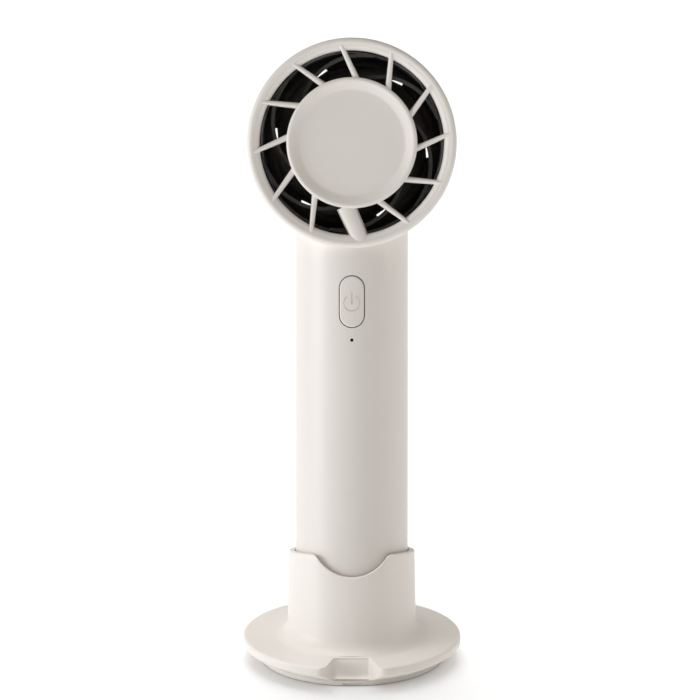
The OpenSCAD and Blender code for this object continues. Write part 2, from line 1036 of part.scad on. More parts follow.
// Rechargeable cell.
module battery_cell() {
    color([0.12, 0.3, 0.6])
    in_fan()
    translate([0, cell_y, 0])
        rotate_extrude($fn = 96)
            polygon([
                [0, cell_low], [8.8, cell_low], [cell_r, cell_low + 0.4],
                [cell_r, cell_high - 2.2], [8.8, cell_high - 1.2], [3.1, cell_high - 1.2],
                [3.1, cell_high], [0, cell_high]
            ]);
}

// Nickel strips welded to the cell's ends.
module battery_tabs() {
    color([0.75, 0.74, 0.7])
    in_fan() {
        translate([-2.5, -6, cell_low - 0.2])
            cube([5, 13, 0.2]);
        translate([-2.5, -2, cell_high])
            cube([5, 9, 0.2]);
    }
}

// Two leads from the cell to the main board.
module battery_leads() {
    color([0.65, 0.08, 0.06])
    in_fan() {
        wire([0, -1.6, cell_high + 0.87], [2.6, -6.2, cell_high + 0.87], 0.6);
        wire_run([
            [0, -5.2, cell_low - 0.87], [-6, -5.6, cell_low - 0.87], [-9.5, -6.1, cell_low + 6],
            [-9.5, -6.1, 82], [-3, -6.1, 95]
        ], 0.6);
    }
}

// Tray that holds the cell against the front shell's posts.
module battery_tray() {
    color([0.2, 0.2, 0.21])
    in_fan()
    difference() {
        union() {
            translate([0, cell_y, cell_low - 2])
                cylinder(r = 10.6, h = cell_high - cell_low + 2, $fn = fine);
            for (z = [46, 82])
                translate([-15, -1, z])
                    cube([30, 1.5, 8]);
        }
        translate([0, cell_y, cell_low - 0.3])
            cylinder(r = cell_r + 0.1, h = 80, $fn = fine);
        translate([-20, -22, 30])
            cube([40, 21, 100]);
        translate([-6, -2, 30])
            cube([12, 4, 9.8]);
        for (s = [-1, 1])
            for (z = [50, 86])
                post(s * 12.6, z, 0.9, -5, 5);
    }
}

// Screws that hold the tray to the front shell.
module tray_screws() {
    color([0.6, 0.6, 0.6])
    in_fan()
    for (s = [-1, 1])
        for (z = [50, 86]) {
            post(s * 12.6, z, 0.7, -7, 0.5);
            post(s * 12.6, z, 1.5, 0.5, 1.5);
        }
}

// Two leads from the charging board up to the main board.
module charge_leads() {
    color([0.06, 0.06, 0.07])
    in_fan()
    for (s = [0, 1])
        wire_run([
            [4.5 + 2 * s, usb_board_y - 0.6, 33], [11 + 1.6 * s, -2, 35.5],
            [7.9 + 1.6 * s, -6.1, 42], [7.9 + 1.6 * s, -6.1, 82], [2.5 + 1.6 * s, -6.1, 95]
        ], 0.6);
}

stand_cup();
stand_base_plate();
stand_foot_pad();
stand_screws();
front_shell();
rear_shell();
bottom_cap();
front_guard();
hub_cap();
duct_ring();
rear_grille();
motor_base();
motor_stator();
motor_coils();
motor_board();
motor_bearings();
motor_screws();
motor_wires();
impeller();
rotor_can();
rotor_magnets();
motor_shaft();
shaft_clip();
power_button();
switch_plunger();
switch_body();
main_board();
board_chips();
board_screws();
indicator_led();
indicator_lens();
charge_board();
usb_c_shell();
usb_c_tongue();
battery_cell();
battery_tabs();
battery_leads();
battery_tray();
tray_screws();
charge_leads();
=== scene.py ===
import json
import math

import bmesh
import bpy
from mathutils import Matrix, Vector


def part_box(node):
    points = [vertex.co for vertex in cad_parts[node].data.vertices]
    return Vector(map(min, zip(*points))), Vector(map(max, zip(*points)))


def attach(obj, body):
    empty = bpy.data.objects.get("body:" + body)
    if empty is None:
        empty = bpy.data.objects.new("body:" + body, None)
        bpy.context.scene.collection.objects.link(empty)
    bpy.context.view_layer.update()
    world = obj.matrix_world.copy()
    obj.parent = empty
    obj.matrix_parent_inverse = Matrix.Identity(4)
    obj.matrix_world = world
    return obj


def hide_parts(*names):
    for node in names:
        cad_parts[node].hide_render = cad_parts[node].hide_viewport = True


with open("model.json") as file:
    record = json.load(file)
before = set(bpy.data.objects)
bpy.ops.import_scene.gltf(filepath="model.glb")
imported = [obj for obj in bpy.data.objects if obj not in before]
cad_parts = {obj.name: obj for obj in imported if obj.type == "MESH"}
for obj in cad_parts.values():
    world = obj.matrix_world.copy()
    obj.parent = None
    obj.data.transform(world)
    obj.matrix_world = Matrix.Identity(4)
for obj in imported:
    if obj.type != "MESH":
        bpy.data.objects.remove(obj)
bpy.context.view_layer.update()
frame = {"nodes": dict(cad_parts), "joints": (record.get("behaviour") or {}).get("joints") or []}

MM = 0.001
joints = {j["name"]: j for j in frame["joints"]}

# ------------------------------------------------------------------ frames, in millimetres
# FAN starts where the leaning axis meets the disc's top; HEAD faces along the outlet's axis.
lift = joints["fan_lift"]["axis"]
lean = math.atan2(lift[1], lift[2])
cup_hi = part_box("stand_cup")[1]
plate_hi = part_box("stand_base_plate")[1]
guard_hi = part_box("front_guard")[1]
cap_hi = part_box("bottom_cap")[1]
HEAD_Z = 162.0
DISC_TOP = 7.6
FAN = Matrix.Translation((0, 0, DISC_TOP * MM)) @ Matrix.Rotation(-lean, 4, "X") @ Matrix.Scale(MM, 4)
HEAD = FAN @ Matrix.Translation((0, 0, HEAD_Z)) @ Matrix.Rotation(math.pi / 2, 4, "X")
ROW = Matrix.Scale(MM, 4)

DISC_R = cup_hi.x / MM
FOOT_R = plate_hi.x / MM
HEAD_R = guard_hi.x / MM
HANDLE_R = cap_hi.x / MM


# ------------------------------------------------------------------ mesh helpers
def arc(cx, cy, r, a0, a1, n):
    """Points on an arc, angles in degrees, both ends included."""
    pts = []
    for i in range(n + 1):
        a = math.radians(a0 + (a1 - a0) * i / n)
        pts.append((cx + r * math.cos(a), cy + r * math.sin(a)))
    return pts


def closed_stack(bm, rings):
    """Quads between rings of equal length, with a face over the first and the last."""
    verts = [[bm.verts.new(p) for p in ring] for ring in rings]
    for low, high in zip(verts, verts[1:]):
        n = len(low)
        for i in range(n):
            j = (i + 1) % n
            bm.faces.new((low[i], low[j], high[j], high[i]))
    bm.faces.new(list(reversed(verts[0])))
    bm.faces.new(verts[-1])


def lathe(bm, profile, n=192):
    """Turns a closed (r, z) profile about z. Points at r = 0 become one vertex."""
    rings = []
    for r, z in profile:
        if r < 1e-6:
            rings.append([bm.verts.new((0, 0, z))])
        else:
            rings.append([
                bm.verts.new((r * math.cos(2 * math.pi * i / n), r * math.sin(2 * math.pi * i / n), z))
                for i in range(n)
            ])
    for a, b in zip(rings, rings[1:] + rings[:1]):
        if len(a) == 1 and len(b) == 1:
            continue
        for i in range(n):
            j = (i + 1) % n
            if len(a) == 1:
                bm.faces.new((a[0], b[j], b[i]))
            elif len(b) == 1:
                bm.faces.new((a[i], a[j], b[0]))
            else:
                bm.faces.new((a[i], a[j], b[j], b[i]))


def make_piece(bm, name, matrix, body, material, node_name, sharp):
    """Turns a bmesh in millimetres into a shaded piece that rides on a body."""
    bmesh.ops.remove_doubles(bm, verts=bm.verts, dist=1e-4)
    bmesh.ops.recalc_face_normals(bm, faces=bm.faces)
    mesh = bpy.data.meshes.new(name)
    bm.to_mesh(mesh)
    bm.free()
    mesh.transform(matrix)
    piece = bpy.data.objects.new(name, mesh)
    bpy.context.scene.collection.objects.link(piece)
    shade(piece, sharp)
    mesh.materials.append(material)
    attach(piece, body)
    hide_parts(node_name)
    return piece


def shade(obj, sharp):
    """Smooth shading with sharp edges above an angle in degrees."""
    mesh = obj.data
    bm = bmesh.new()
    bm.from_mesh(mesh)
    limit = math.radians(sharp)
    for f in bm.faces:
        f.smooth = True
    for e in bm.edges:
        if len(e.link_faces) == 2:
            e.smooth = e.calc_face_angle(0.0) < limit
    bm.to_mesh(mesh)
    bm.free()
    mesh.update()


def boolean(obj, other, operation):
    """Applies an exact boolean and removes the other object."""
    mod = obj.modifiers.new("cut", "BOOLEAN")
    mod.operation = operation
    mod.solver = "EXACT"
    mod.object = other
    dg = bpy.context.evaluated_depsgraph_get()
    mesh = bpy.data.meshes.new_from_object(obj.evaluated_get(dg))
    obj.modifiers.clear()
    old = obj.data
    obj.data = mesh
    bpy.data.meshes.remove(old)
    bpy.data.objects.remove(other)


def loose(bm, name):
    """A plain object in millimetres for use as a cutter."""
    bmesh.ops.recalc_face_normals(bm, faces=bm.faces)
    mesh = bpy.data.meshes.new(name)
    bm.to_mesh(mesh)
    bm.free()
    obj = bpy.data.objects.new(name, mesh)
    bpy.context.scene.collection.objects.link(obj)
    return obj


def mesh_of(obj):
    """Takes the mesh out of a plain object, as a bmesh."""
    bm = bmesh.new()
    bm.from_mesh(obj.data)
    bpy.data.objects.remove(obj)
    return bm


# ------------------------------------------------------------------ materials
def new_material(name):
    """A material with nodes, and what is needed to wire them."""
    mat = bpy.data.materials.new(name)
    mat.use_nodes = True
    nodes = mat.node_tree.nodes
    return mat, nodes, mat.node_tree.links, nodes["Principled BSDF"]


def moulded(name, color, rough=0.42, grain=2600.0, bump=0.018, tint=0.02, coat=0.0):
    """Moulded plastic: fine eroded grain, faint cloudiness in colour and gloss."""
    mat, nodes, links, shader = new_material(name)
    coords = nodes.new("ShaderNodeTexCoord")
    fine = nodes.new("ShaderNodeTexNoise")
    fine.inputs["Scale"].default_value = grain
    fine.inputs["Detail"].default_value = 3.0
    links.new(coords.outputs["Object"], fine.inputs["Vector"])
    broad = nodes.new("ShaderNodeTexNoise")
    broad.inputs["Scale"].default_value = 38.0
    broad.inputs["Detail"].default_value = 4.0
    links.new(coords.outputs["Object"], broad.inputs["Vector"])
    ramp = nodes.new("ShaderNodeMapRange")
    ramp.inputs["From Min"].default_value = 0.3
    ramp.inputs["From Max"].default_value = 0.7
    ramp.inputs["To Min"].default_value = rough - 0.05
    ramp.inputs["To Max"].default_value = rough + 0.05
    links.new(broad.outputs["Fac"], ramp.inputs["Value"])
    links.new(ramp.outputs["Result"], shader.inputs["Roughness"])
    mix = nodes.new("ShaderNodeMix")
    mix.data_type = "RGBA"
    mix.inputs["A"].default_value = (*[c * (1 - tint) for c in color], 1)
    mix.inputs["B"].default_value = (*[min(1, c * (1 + tint)) for c in color], 1)
    links.new(broad.outputs["Fac"], mix.inputs["Factor"])
    links.new(mix.outputs["Result"], shader.inputs["Base Color"])
    lumps = nodes.new("ShaderNodeBump")
    lumps.inputs["Strength"].default_value = bump * 10
    lumps.inputs["Distance"].default_value = 0.00002
    links.new(fine.outputs["Fac"], lumps.inputs["Height"])
    links.new(lumps.outputs["Normal"], shader.inputs["Normal"])
    shader.inputs["Coat Weight"].default_value = coat
    shader.inputs["Coat Roughness"].default_value = 0.12
    return mat


def metal(name, color, rough=0.3, spread=0.08, grain=900.0):
    """Bare metal with fine drawn or turned marks."""
    mat, nodes, links, shader = new_material(name)
    coords = nodes.new("ShaderNodeTexCoord")
    stretch = nodes.new("ShaderNodeMapping")
    stretch.inputs["Scale"].default_value = (1.0, 1.0, 12.0)
    links.new(coords.outputs["Object"], stretch.inputs["Vector"])
    marks = nodes.new("ShaderNodeTexNoise")
    marks.inputs["Scale"].default_value = grain
    marks.inputs["Detail"].default_value = 5.0
    links.new(stretch.outputs["Vector"], marks.inputs["Vector"])
    ramp = nodes.new("ShaderNodeMapRange")
    ramp.inputs["To Min"].default_value = max(0.05, rough - spread)
    ramp.inputs["To Max"].default_value = rough + spread
    links.new(marks.outputs["Fac"], ramp.inputs["Value"])
    links.new(ramp.outputs["Result"], shader.inputs["Roughness"])
    lumps = nodes.new("ShaderNodeBump")
    lumps.inputs["Strength"].default_value = 0.15
    lumps.inputs["Distance"].default_value = 0.00002
    links.new(marks.outputs["Fac"], lumps.inputs["Height"])
    links.new(lumps.outputs["Normal"], shader.inputs["Normal"])
    shader.inputs["Base Color"].default_value = (*color, 1)
    shader.inputs["Metallic"].default_value = 1.0
    return mat


OFF_WHITE = (0.84, 0.795, 0.75)
white = moulded("shell_plastic", OFF_WHITE)
white_cap = moulded("cap_plastic", tuple(c * 0.985 for c in OFF_WHITE), rough=0.46)
white_plate = moulded("plate_plastic", tuple(c * 0.97 for c in OFF_WHITE), rough=0.5)
gloss_black = moulded("impeller_plastic", (0.085, 0.078, 0.07), rough=0.34,
                      grain=1400.0, bump=0.01, tint=0.1, coat=0.08)
satin_black = moulded("duct_plastic", (0.012, 0.011, 0.010), rough=0.38, bump=0.02, tint=0.1)
lens_black = moulded("lens_plastic", (0.006, 0.006, 0.006), rough=0.15, bump=0.004, coat=0.5)
dark_plastic = moulded("dark_plastic", (0.03, 0.03, 0.032), rough=0.5, bump=0.03, tint=0.1)
rubber = moulded("rubber_pad", (0.035, 0.035, 0.035), rough=0.85, bump=0.06, grain=1800.0, tint=0.15)
board_green = moulded("board_mask", (0.015, 0.11, 0.05), rough=0.3, bump=0.01, tint=0.15, coat=0.3)
resin = moulded("lamp_resin", (0.8, 0.8, 0.7), rough=0.2, bump=0.004)
sleeve = moulded("cell_sleeve", (0.03, 0.12, 0.38), rough=0.28, bump=0.01, tint=0.08, coat=0.4)
red_wire = moulded("red_insulation", (0.42, 0.02, 0.015), rough=0.5, bump=0.02)
black_wire = moulded("black_insulation", (0.02, 0.02, 0.022), rough=0.5, bump=0.02)
steel = metal("screw_steel", (0.55, 0.55, 0.56))
ground = metal("ground_steel", (0.72, 0.72, 0.74), rough=0.14, spread=0.04)
alloy = metal("turned_alloy", (0.78, 0.78, 0.8), rough=0.34)
laminate = metal("lamination_steel", (0.32, 0.32, 0.34), rough=0.42, grain=1800.0)
copper = metal("copper_wire", (0.72, 0.32, 0.14), rough=0.3, grain=2400.0)
nickel = metal("nickel_plate", (0.68, 0.66, 0.62), rough=0.24)
sinter = metal("sintered_magnet", (0.16, 0.16, 0.17), rough=0.55)

CAD_MATERIALS = {
    "stand_cup": white, "stand_base_plate": white_plate, "stand_foot_pad": rubber,
    "stand_screws": steel, "front_shell": white, "rear_shell": white, "bottom_cap": white,
    "front_guard": white, "hub_cap": white_cap, "duct_ring": satin_black, "rear_grille": white,
    "motor_base": alloy, "motor_stator": laminate, "motor_coils": copper,
    "motor_board": board_green, "motor_bearings": ground, "motor_screws": steel,
    "motor_wires": red_wire, "impeller": gloss_black, "rotor_can": steel,
    "rotor_magnets": sinter, "motor_shaft": ground, "shaft_clip": steel,
    "power_button": white, "switch_plunger": dark_plastic, "switch_body": dark_plastic,
    "main_board": board_green, "board_chips": dark_plastic, "board_screws": steel,
    "indicator_led": resin, "indicator_lens": lens_black, "charge_board": board_green,
    "usb_c_shell": nickel, "usb_c_tongue": dark_plastic, "battery_cell": sleeve,
    "battery_tabs": nickel, "battery_leads": red_wire, "battery_tray": dark_plastic,
    "tray_screws": steel, "charge_leads": black_wire,
}
CAD_SHARP = 30.0
for node_name, node in frame["nodes"].items():
    node.data.materials.clear()
    node.data.materials.append(CAD_MATERIALS[node_name])
    shade(node, CAD_SHARP)

# ------------------------------------------------------------------ stand
CUP_H, CUP_R, CUP_LOW_R, BORE_R, FLOOR = 27.7, 20.8, 21.2, HANDLE_R + 0.4, 0.95
FLARE, RIM_LOW, RIM_EDGE_LOW, EDGE = 4.8, 4.8, 0.4, 0.9
SCALLOP_R, SCALLOP_D, EASE = 13.5, 7.0, 2.0
ROUND_OUT, ROUND_IN = 0.55, 0.4
NOTCH_IN, NOTCH_OUT, NOTCH_WALL, NOTCH_EASE = 5.9, 9.7, 24.7, 0.16
PLATE_TOP = plate_hi.z / MM


def rim_height(x):
    """Height of the cup's rim along the fan at a sideways distance x."""
    x = abs(x)
    cz = CUP_H - SCALLOP_D + SCALLOP_R
    drop = cz - CUP_H + EASE
    sx = math.sqrt((SCALLOP_R + EASE) ** 2 - drop ** 2)
    tx = sx * SCALLOP_R / (SCALLOP_R + EASE)
    if x <= tx:
        return cz - math.sqrt(SCALLOP_R ** 2 - x * x)
    if x < sx:
        return CUP_H - EASE + math.sqrt(EASE ** 2 - (x - sx) ** 2)
    return CUP_H


def fan_point(a, r, w):
    """A point of the leaning cup: angle, radius and height along the fan, in row millimetres."""
    x, y = r * math.cos(a), r * math.sin(a)
    return (x, y * math.cos(lean) + w * math.sin(lean),
            DISC_TOP + w * math.cos(lean) - y * math.sin(lean))


def disc_rings(angles):
    """Foot, sloping underside, thin rim and flat top of the disc."""
    under = math.degrees(math.atan2(RIM_LOW - PLATE_TOP, DISC_R - FOOT_R))
    profile = [(FOOT_R - 8, PLATE_TOP), (FOOT_R - 0.1, PLATE_TOP)]
    profile.append((FOOT_R + 0.1, PLATE_TOP + 0.12))
    profile += arc(DISC_R - RIM_EDGE_LOW, RIM_LOW + RIM_EDGE_LOW, RIM_EDGE_LOW, under - 90, 0, 6)
    profile += arc(DISC_R - EDGE, DISC_TOP - EDGE, EDGE, 0, 90, 12)
    profile.append(((DISC_R - EDGE + (CUP_LOW_R + FLARE)) / 2 + 1, DISC_TOP))
    return [[(r * math.cos(a), r * math.sin(a), z) for a in angles] for r, z in profile]


def flare_rings(angles, steps=14):
    """Flare from the flat top into the leaning cup."""
    rings = []
    for i in range(steps + 1):
        t = math.pi / 2 * i / steps
        up, out = FLARE * (1 - math.cos(t)), FLARE * (1 - math.sin(t))
        rings.append([
            ((CUP_LOW_R + out) * math.cos(a),
             (CUP_LOW_R / math.cos(lean) + out) * math.sin(a) + up * math.tan(lean),
             DISC_TOP + up)
            for a in angles
        ])
    return rings


def cup_rings(angles, wall_steps=10, bore_steps=6):
    """Outside of the cup, rounded rim that follows the scallops, bore and floor."""
    def flare_top(a):
        return (FLARE + CUP_LOW_R * math.sin(a) * math.sin(lean)) / math.cos(lean)

    rings = []
    for k in range(1, wall_steps + 1):
        t = k / wall_steps
        r = CUP_LOW_R + (CUP_R - CUP_LOW_R) * t
        ring = []
        for a in angles:
            top = rim_height(r * math.cos(a)) - ROUND_OUT
            ring.append(fan_point(a, r, flare_top(a) + (top - flare_top(a)) * t))
        rings.append(ring)
    rim = arc(CUP_R - ROUND_OUT, -ROUND_OUT, ROUND_OUT, 0, 90, 8)[1:]
    rim += arc(BORE_R + ROUND_IN, -ROUND_IN, ROUND_IN, 90, 180, 6)
    for r, dw in rim:
        rings.append([fan_point(a, r, rim_height(r * math.cos(a)) + dw) for a in angles])
    for k in range(1, bore_steps + 1):
        ring = []
        for a in angles:
            depth = rim_height(BORE_R * math.cos(a)) - ROUND_IN - FLOOR
            ring.append(fan_point(a, BORE_R, FLOOR + depth * (1 - k / bore_steps)))
        rings.append(ring)
    return rings


def notch_side():
    """Right side of the notch: rounded inner corner, sloped side and flared outer corner."""
    inner, outer = 1.2, 2.6
    slope = math.atan2(NOTCH_OUT - 1 - NOTCH_IN, DISC_R - 1.8 - NOTCH_WALL)
    run = DISC_R - outer - 0.7 - NOTCH_WALL
    ax = NOTCH_IN + inner * math.tan(slope) - inner / math.cos(slope)
    ay = -NOTCH_WALL - inner
    bx = NOTCH_IN + run * math.sin(slope) + outer * math.cos(slope)
    by = -NOTCH_WALL - run * math.cos(slope) + outer * math.sin(slope)
    deg = math.degrees(slope)
    pts = arc(ax, ay, inner, 90, deg, 12)
    pts += arc(bx, by, outer, 180 + deg, 360 + math.degrees(math.atan2(by, bx)), 16)
    return pts + [(bx + 1, -DISC_R - 3)]


def notch_outline():
    """Both sides of the notch and the inner wall between them."""
    side = notch_side()
    wall_x = side[0][0]
    wall = [(wall_x * (1 - k / 6), -NOTCH_WALL) for k in range(1, 12)]
    return list(reversed(side)) + wall + [(-x, y) for x, y in side]


def outline_normals(shape):
    """Unit vectors that point from the notch into the disc, one for each point."""
    normals = []
    for i in range(len(shape)):
        x0, y0 = shape[max(0, i - 1)]
        x1, y1 = shape[min(len(shape) - 1, i + 1)]
        dx, dy = x1 - x0, y1 - y0
        length = math.hypot(dx, dy) or 1
        normals.append((dy / length, -dx / length))
    return normals


def disc_surface(x, y):
    """Height of the disc's flat top and rounded edge."""
    r = math.hypot(x, y)
    if r <= DISC_R - EDGE:
        return DISC_TOP
    r = min(r, DISC_R - 0.02)
    return DISC_TOP - EDGE + math.sqrt(max(0.0, EDGE ** 2 - (r - DISC_R + EDGE) ** 2))


def notch_cutter():
    """Stack of rings whose inner wall slopes out to the foot, with an eased upper edge."""
    shape = notch_outline()
    normals = outline_normals(shape)
    slope_top, below, above = 5.85, -1.0, 14.0
    fade_end, fade_run = 32, 5.5
    reach = FOOT_R - 1.3 - NOTCH_WALL

    def pushed(out):
        """The outline with its wall moved out by a distance that fades towards the rim."""
        return [(x, y - out * min(1.0, max(0.0, (y + fade_end) / fade_run))) for x, y in shape]

    def moved(off):
        """The outline moved into the disc."""
        return [(x + nx * off, y + ny * off) for (x, y), (nx, ny) in zip(shape, normals)]

    def under_edge(x, y):
        """Height where the eased upper edge begins."""
        return min(DISC_TOP - 0.5, disc_surface(x, y) - NOTCH_EASE - 0.1)

    rings = []
    for out, z in ((reach, below), (reach, 1.85), (4.6, 1.95), (3.8, 2.15), (3.2, 2.5), (2.75, 3.05),
                   (2.35, 3.7), (1.95, 4.35), (1.6, 5.0), (1.3, 5.5), (1.1, slope_top)):
        rings.append([(x, y, z) for x, y in pushed(out)])
    for out, t in ((0.75, 0.4), (0.3, 0.8), (0.08, 1.0)):
        rings.append([(px, py, slope_top + t * (under_edge(x, y) - slope_top))
                      for (x, y), (px, py) in zip(shape, pushed(out))])
    for k in range(6):
        t = math.radians(18 * k)
        depth = NOTCH_EASE * (1 - math.sin(t))
        rings.append([(x, y, max(disc_surface(x, y) - depth, DISC_TOP - 2.0))
                      for x, y in moved(NOTCH_EASE * (1 - math.cos(t)))])
    past_edge = moved(NOTCH_EASE + 0.3)
    rings.append([(x, y, disc_surface(x, y) + 0.25) for x, y in past_edge])
    rings.append([(x, y, above) for x, y in past_edge])
    bm = bmesh.new()
    closed_stack(bm, rings)
    return loose(bm, "notch_cutter")


def build_stand(sides=432):
    angles = [2 * math.pi * i / sides for i in range(sides)]
    bm = bmesh.new()
    closed_stack(bm, disc_rings(angles) + flare_rings(angles) + cup_rings(angles))
    stand = loose(bm, "stand_body")
    boolean(stand, notch_cutter(), "DIFFERENCE")
    return make_piece(mesh_of(stand), "stand_body", ROW, "stand", white,
                      "stand_cup", 32.0)


stand_body = build_stand()

# ------------------------------------------------------------------ guard
HUB_R, OUTLET_R, BEZEL_D, SEAT_D, DUCT_D = 21.2, 29.9, 20.5, 16.5, 14.5
BEZEL_EDGE, LIP_R, HUB_EDGE = 1.35, 1.9, 0.9
RIB_IN_R, RIB_OUT_R, RIB_SWEEP, RIB_TIP = 20.6, 32.8, 11.5, 0.07
WIDE_AT = -84.0
RIB_OUTER = [-84.0, -54.0, -23.4, 5.9, 36.2, 66.8, 97.0, 127.2, 156.2, -174.0, -143.5, -114.0]


def bezel_profile():
    """Outer ring of the guard: skirt, rounded outer edge, shallow face and rounded lip."""
    pts = [(OUTLET_R, DUCT_D), (HEAD_R - 2, DUCT_D), (HEAD_R - 2, SEAT_D + 0.02)]
    pts += [(HEAD_R - 0.12, SEAT_D + 0.02), (HEAD_R, SEAT_D + 0.14)]
    pts += arc(HEAD_R - BEZEL_EDGE, BEZEL_D - BEZEL_EDGE, BEZEL_EDGE, 0, 97, 12)
    pts += [(HEAD_R - 2.1, 20.32), (31.8, 20.12)]
    pts += arc(OUTLET_R + LIP_R, 18.22, LIP_R, 90, 180, 16)[1:]
    return pts


def hub_profile():
    """Ring around the hub's cover, with its inner edge sunk towards the cover."""
    pts = [(4.0, 10.0), (HUB_R - 0.2, 10.0), (HUB_R, 10.2)]
    pts += arc(HUB_R - HUB_EDGE, 19.8, HUB_EDGE, 0, 90, 10)
    pts += [(20.1, 20.68), (19.9, 20.62), (19.7, 20.52)]
    pts += [(18.9, 20.08), (18.9, 11.5), (4.0, 11.5)]
    return pts


def rib_mesh(bm, at, wide_in, wide_out, crown_in, crown_out, depth, arch):
    """One straight rib: arched front, drafted flanks, and a tip that dips into the bezel."""
    a0, a1 = math.radians(at - RIB_SWEEP), math.radians(at)
    p = Vector((RIB_IN_R * math.cos(a0), RIB_IN_R * math.sin(a0)))
    q = Vector((RIB_OUT_R * math.cos(a1), RIB_OUT_R * math.sin(a1)))
    run = q - p
    across = Vector((-run.y, run.x)).normalized()
    steps = 24
    rings = []
    for i in range(steps + 1):
        t = i / steps
        c = p + run * t
        w = wide_in + (wide_out - wide_in) * t
        tip = max(0.0, (t - (1 - RIB_TIP)) / RIB_TIP)
        crown = crown_in + (crown_out - crown_in) * t * t - 0.6 * tip ** 2
        rise = arch * w
        ring = []
        for x, z in arc(0, 0, 1, 180, 0, 14):
            ring.append((c.x + across.x * x * w / 2, c.y + across.y * x * w / 2,
                         crown - rise + z * rise))
        for s in (1, -1):
            ring.append((c.x + across.x * s * w * 0.6, c.y + across.y * s * w * 0.6,
                         crown_in - depth))
        rings.append(ring)
    closed_stack(bm, rings)


def build_guard():
    bm = bmesh.new()
    lathe(bm, bezel_profile(), 256)
    lathe(bm, hub_profile(), 256)
    for at in RIB_OUTER:
        if at == WIDE_AT:
            rib_mesh(bm, at, wide_in=5.4, wide_out=4.7, crown_in=20.15, crown_out=20.36,
                     depth=5.2, arch=0.22)
        else:
            rib_mesh(bm, at, wide_in=1.75, wide_out=1.2, crown_in=19.75, crown_out=20.42,
                     depth=3.0, arch=0.42)
    make_piece(bm, "guard_moulding", HEAD, "fan", white, "front_guard", 40.0)


def build_hub_cap():
    """Cover with a flat middle and a soft rise to the hub's ring."""
    bm = bmesh.new()
    cap_r, back, flat = 18.895, 17.2, 19.2
    profile = [(0, back), (cap_r, back), (cap_r, 20.077), (18.2, 19.71)]
    profile += [(17.8, 19.51), (17.5, 19.38), (17.2, 19.28), (17.0, 19.23), (16.8, flat)]
    profile += [(14.0, flat), (9.0, flat), (0, flat)]
    lathe(bm, profile, 256)
    make_piece(bm, "hub_cover", HEAD, "fan", white_cap, "hub_cap", 50.0)


build_guard()
build_hub_cap()

# ------------------------------------------------------------------ button
BUTTON_Z, BUTTON_W, BUTTON_L, BUTTON_R = 110.5, 7.9, 16.6, HANDLE_R + 0.2
BUTTON_EDGE, FLANGE = 0.38, 0.9
FLANGE_BACK, FLANGE_FRONT = -14.4, -15.4
STEM_R, STEM_L, STEM_AT = 1.6, 2.3, -12.3
ICON_FRONT, ICON_BACK, ICON_DROP = -19.5, -18.38, 0.4


def pill_ring(width, length, n=24):
    """Points around a pill shape standing upright about the origin, anticlockwise."""
    r, c = width / 2, (length - width) / 2
    return ([(x, z + c) for x, z in arc(0, 0, r, 0, 180, n)]
            + [(x, z - c) for x, z in arc(0, 0, r, 180, 360, n)])


def button_cap():
    """Flange and cap, with a rounded edge and a face that follows the handle's curve."""
    def face_ring(inset, back):
        pill = pill_ring(BUTTON_W - 2 * inset, BUTTON_L - 2 * inset)
        return [(x, -math.sqrt(BUTTON_R ** 2 - x * x) + back, BUTTON_Z + z) for x, z in pill]

    flange = pill_ring(BUTTON_W + 2 * FLANGE, BUTTON_L + 2 * FLANGE)
    rings = []
    for pill, y in ((flange, FLANGE_BACK), (flange, FLANGE_FRONT),
                    (pill_ring(BUTTON_W, BUTTON_L), FLANGE_FRONT)):
        rings.append([(x, y, BUTTON_Z + z) for x, z in pill])
    for k in range(7):
        t = math.radians(15 * k)
        rings.append(face_ring(BUTTON_EDGE * (1 - math.cos(t)), BUTTON_EDGE * (1 - math.sin(t))))
    for k in range(1, 9):
        rings.append(face_ring(BUTTON_EDGE + (BUTTON_W / 2 - BUTTON_EDGE) * k / 8.6, 0.0))
    bm = bmesh.new()
    closed_stack(bm, rings)
    return loose(bm, "button_body")


def button_stem():
    bm = bmesh.new()
    lathe(bm, [(0, 0), (STEM_R, 0), (STEM_R, STEM_L), (0, STEM_L)], 48)
    stem = loose(bm, "button_stem")
    turn = Matrix.Rotation(math.pi / 2, 4, "X")
    stem.data.transform(Matrix.Translation((0, STEM_AT, BUTTON_Z)) @ turn)
    return stem


def icon_cutter():
    """Generic power sign: an open ring and a bar."""
    ring = arc(0, 0, 2.75, 90 + 29, 450 - 29, 64) + arc(0, 0, 2.35, 90 + 34, 450 - 34, 64)[::-1]
    bar = [(-0.2, -0.8), (0.2, -0.8), (0.2, 3.1), (-0.2, 3.1)]
    bm = bmesh.new()
    for outline, z0 in ((ring, BUTTON_Z - ICON_DROP), (bar, BUTTON_Z)):
        closed_stack(bm, [[(x, y, z0 + z) for x, z in outline] for y in (ICON_FRONT, ICON_BACK)])
    return loose(bm, "icon_cutter")


def build_button():
    button = button_cap()
    boolean(button, button_stem(), "UNION")
    boolean(button, icon_cutter(), "DIFFERENCE")
    make_piece(mesh_of(button), "button_moulding", FAN, "button", white, "power_button", 24.0)


build_button()

# ------------------------------------------------------------------ impeller
FRONT_EDGE = [(19.6, 139.0), (21.2, 130.0), (22.6, 122.0), (23.9, 115.0), (25.5, 105.0),
              (26.8, 95.0), (28.0, 85.0), (28.8, 75.0), (29.25, 67.0)]
BLADES, BLADE_FIRST, BLADE_FRONT, BLADE_DEEP = 6, 8.8, 8.7, 15.2
BLADE_ROOT, BLADE_TIP, BLADE_THICK = 19.7, 29.3, 1.35
BLADE_TURN, SLIT_TURN, SLIT_R, SLIT_SPREAD = 62.0, 10.9, 24.8, 1.05


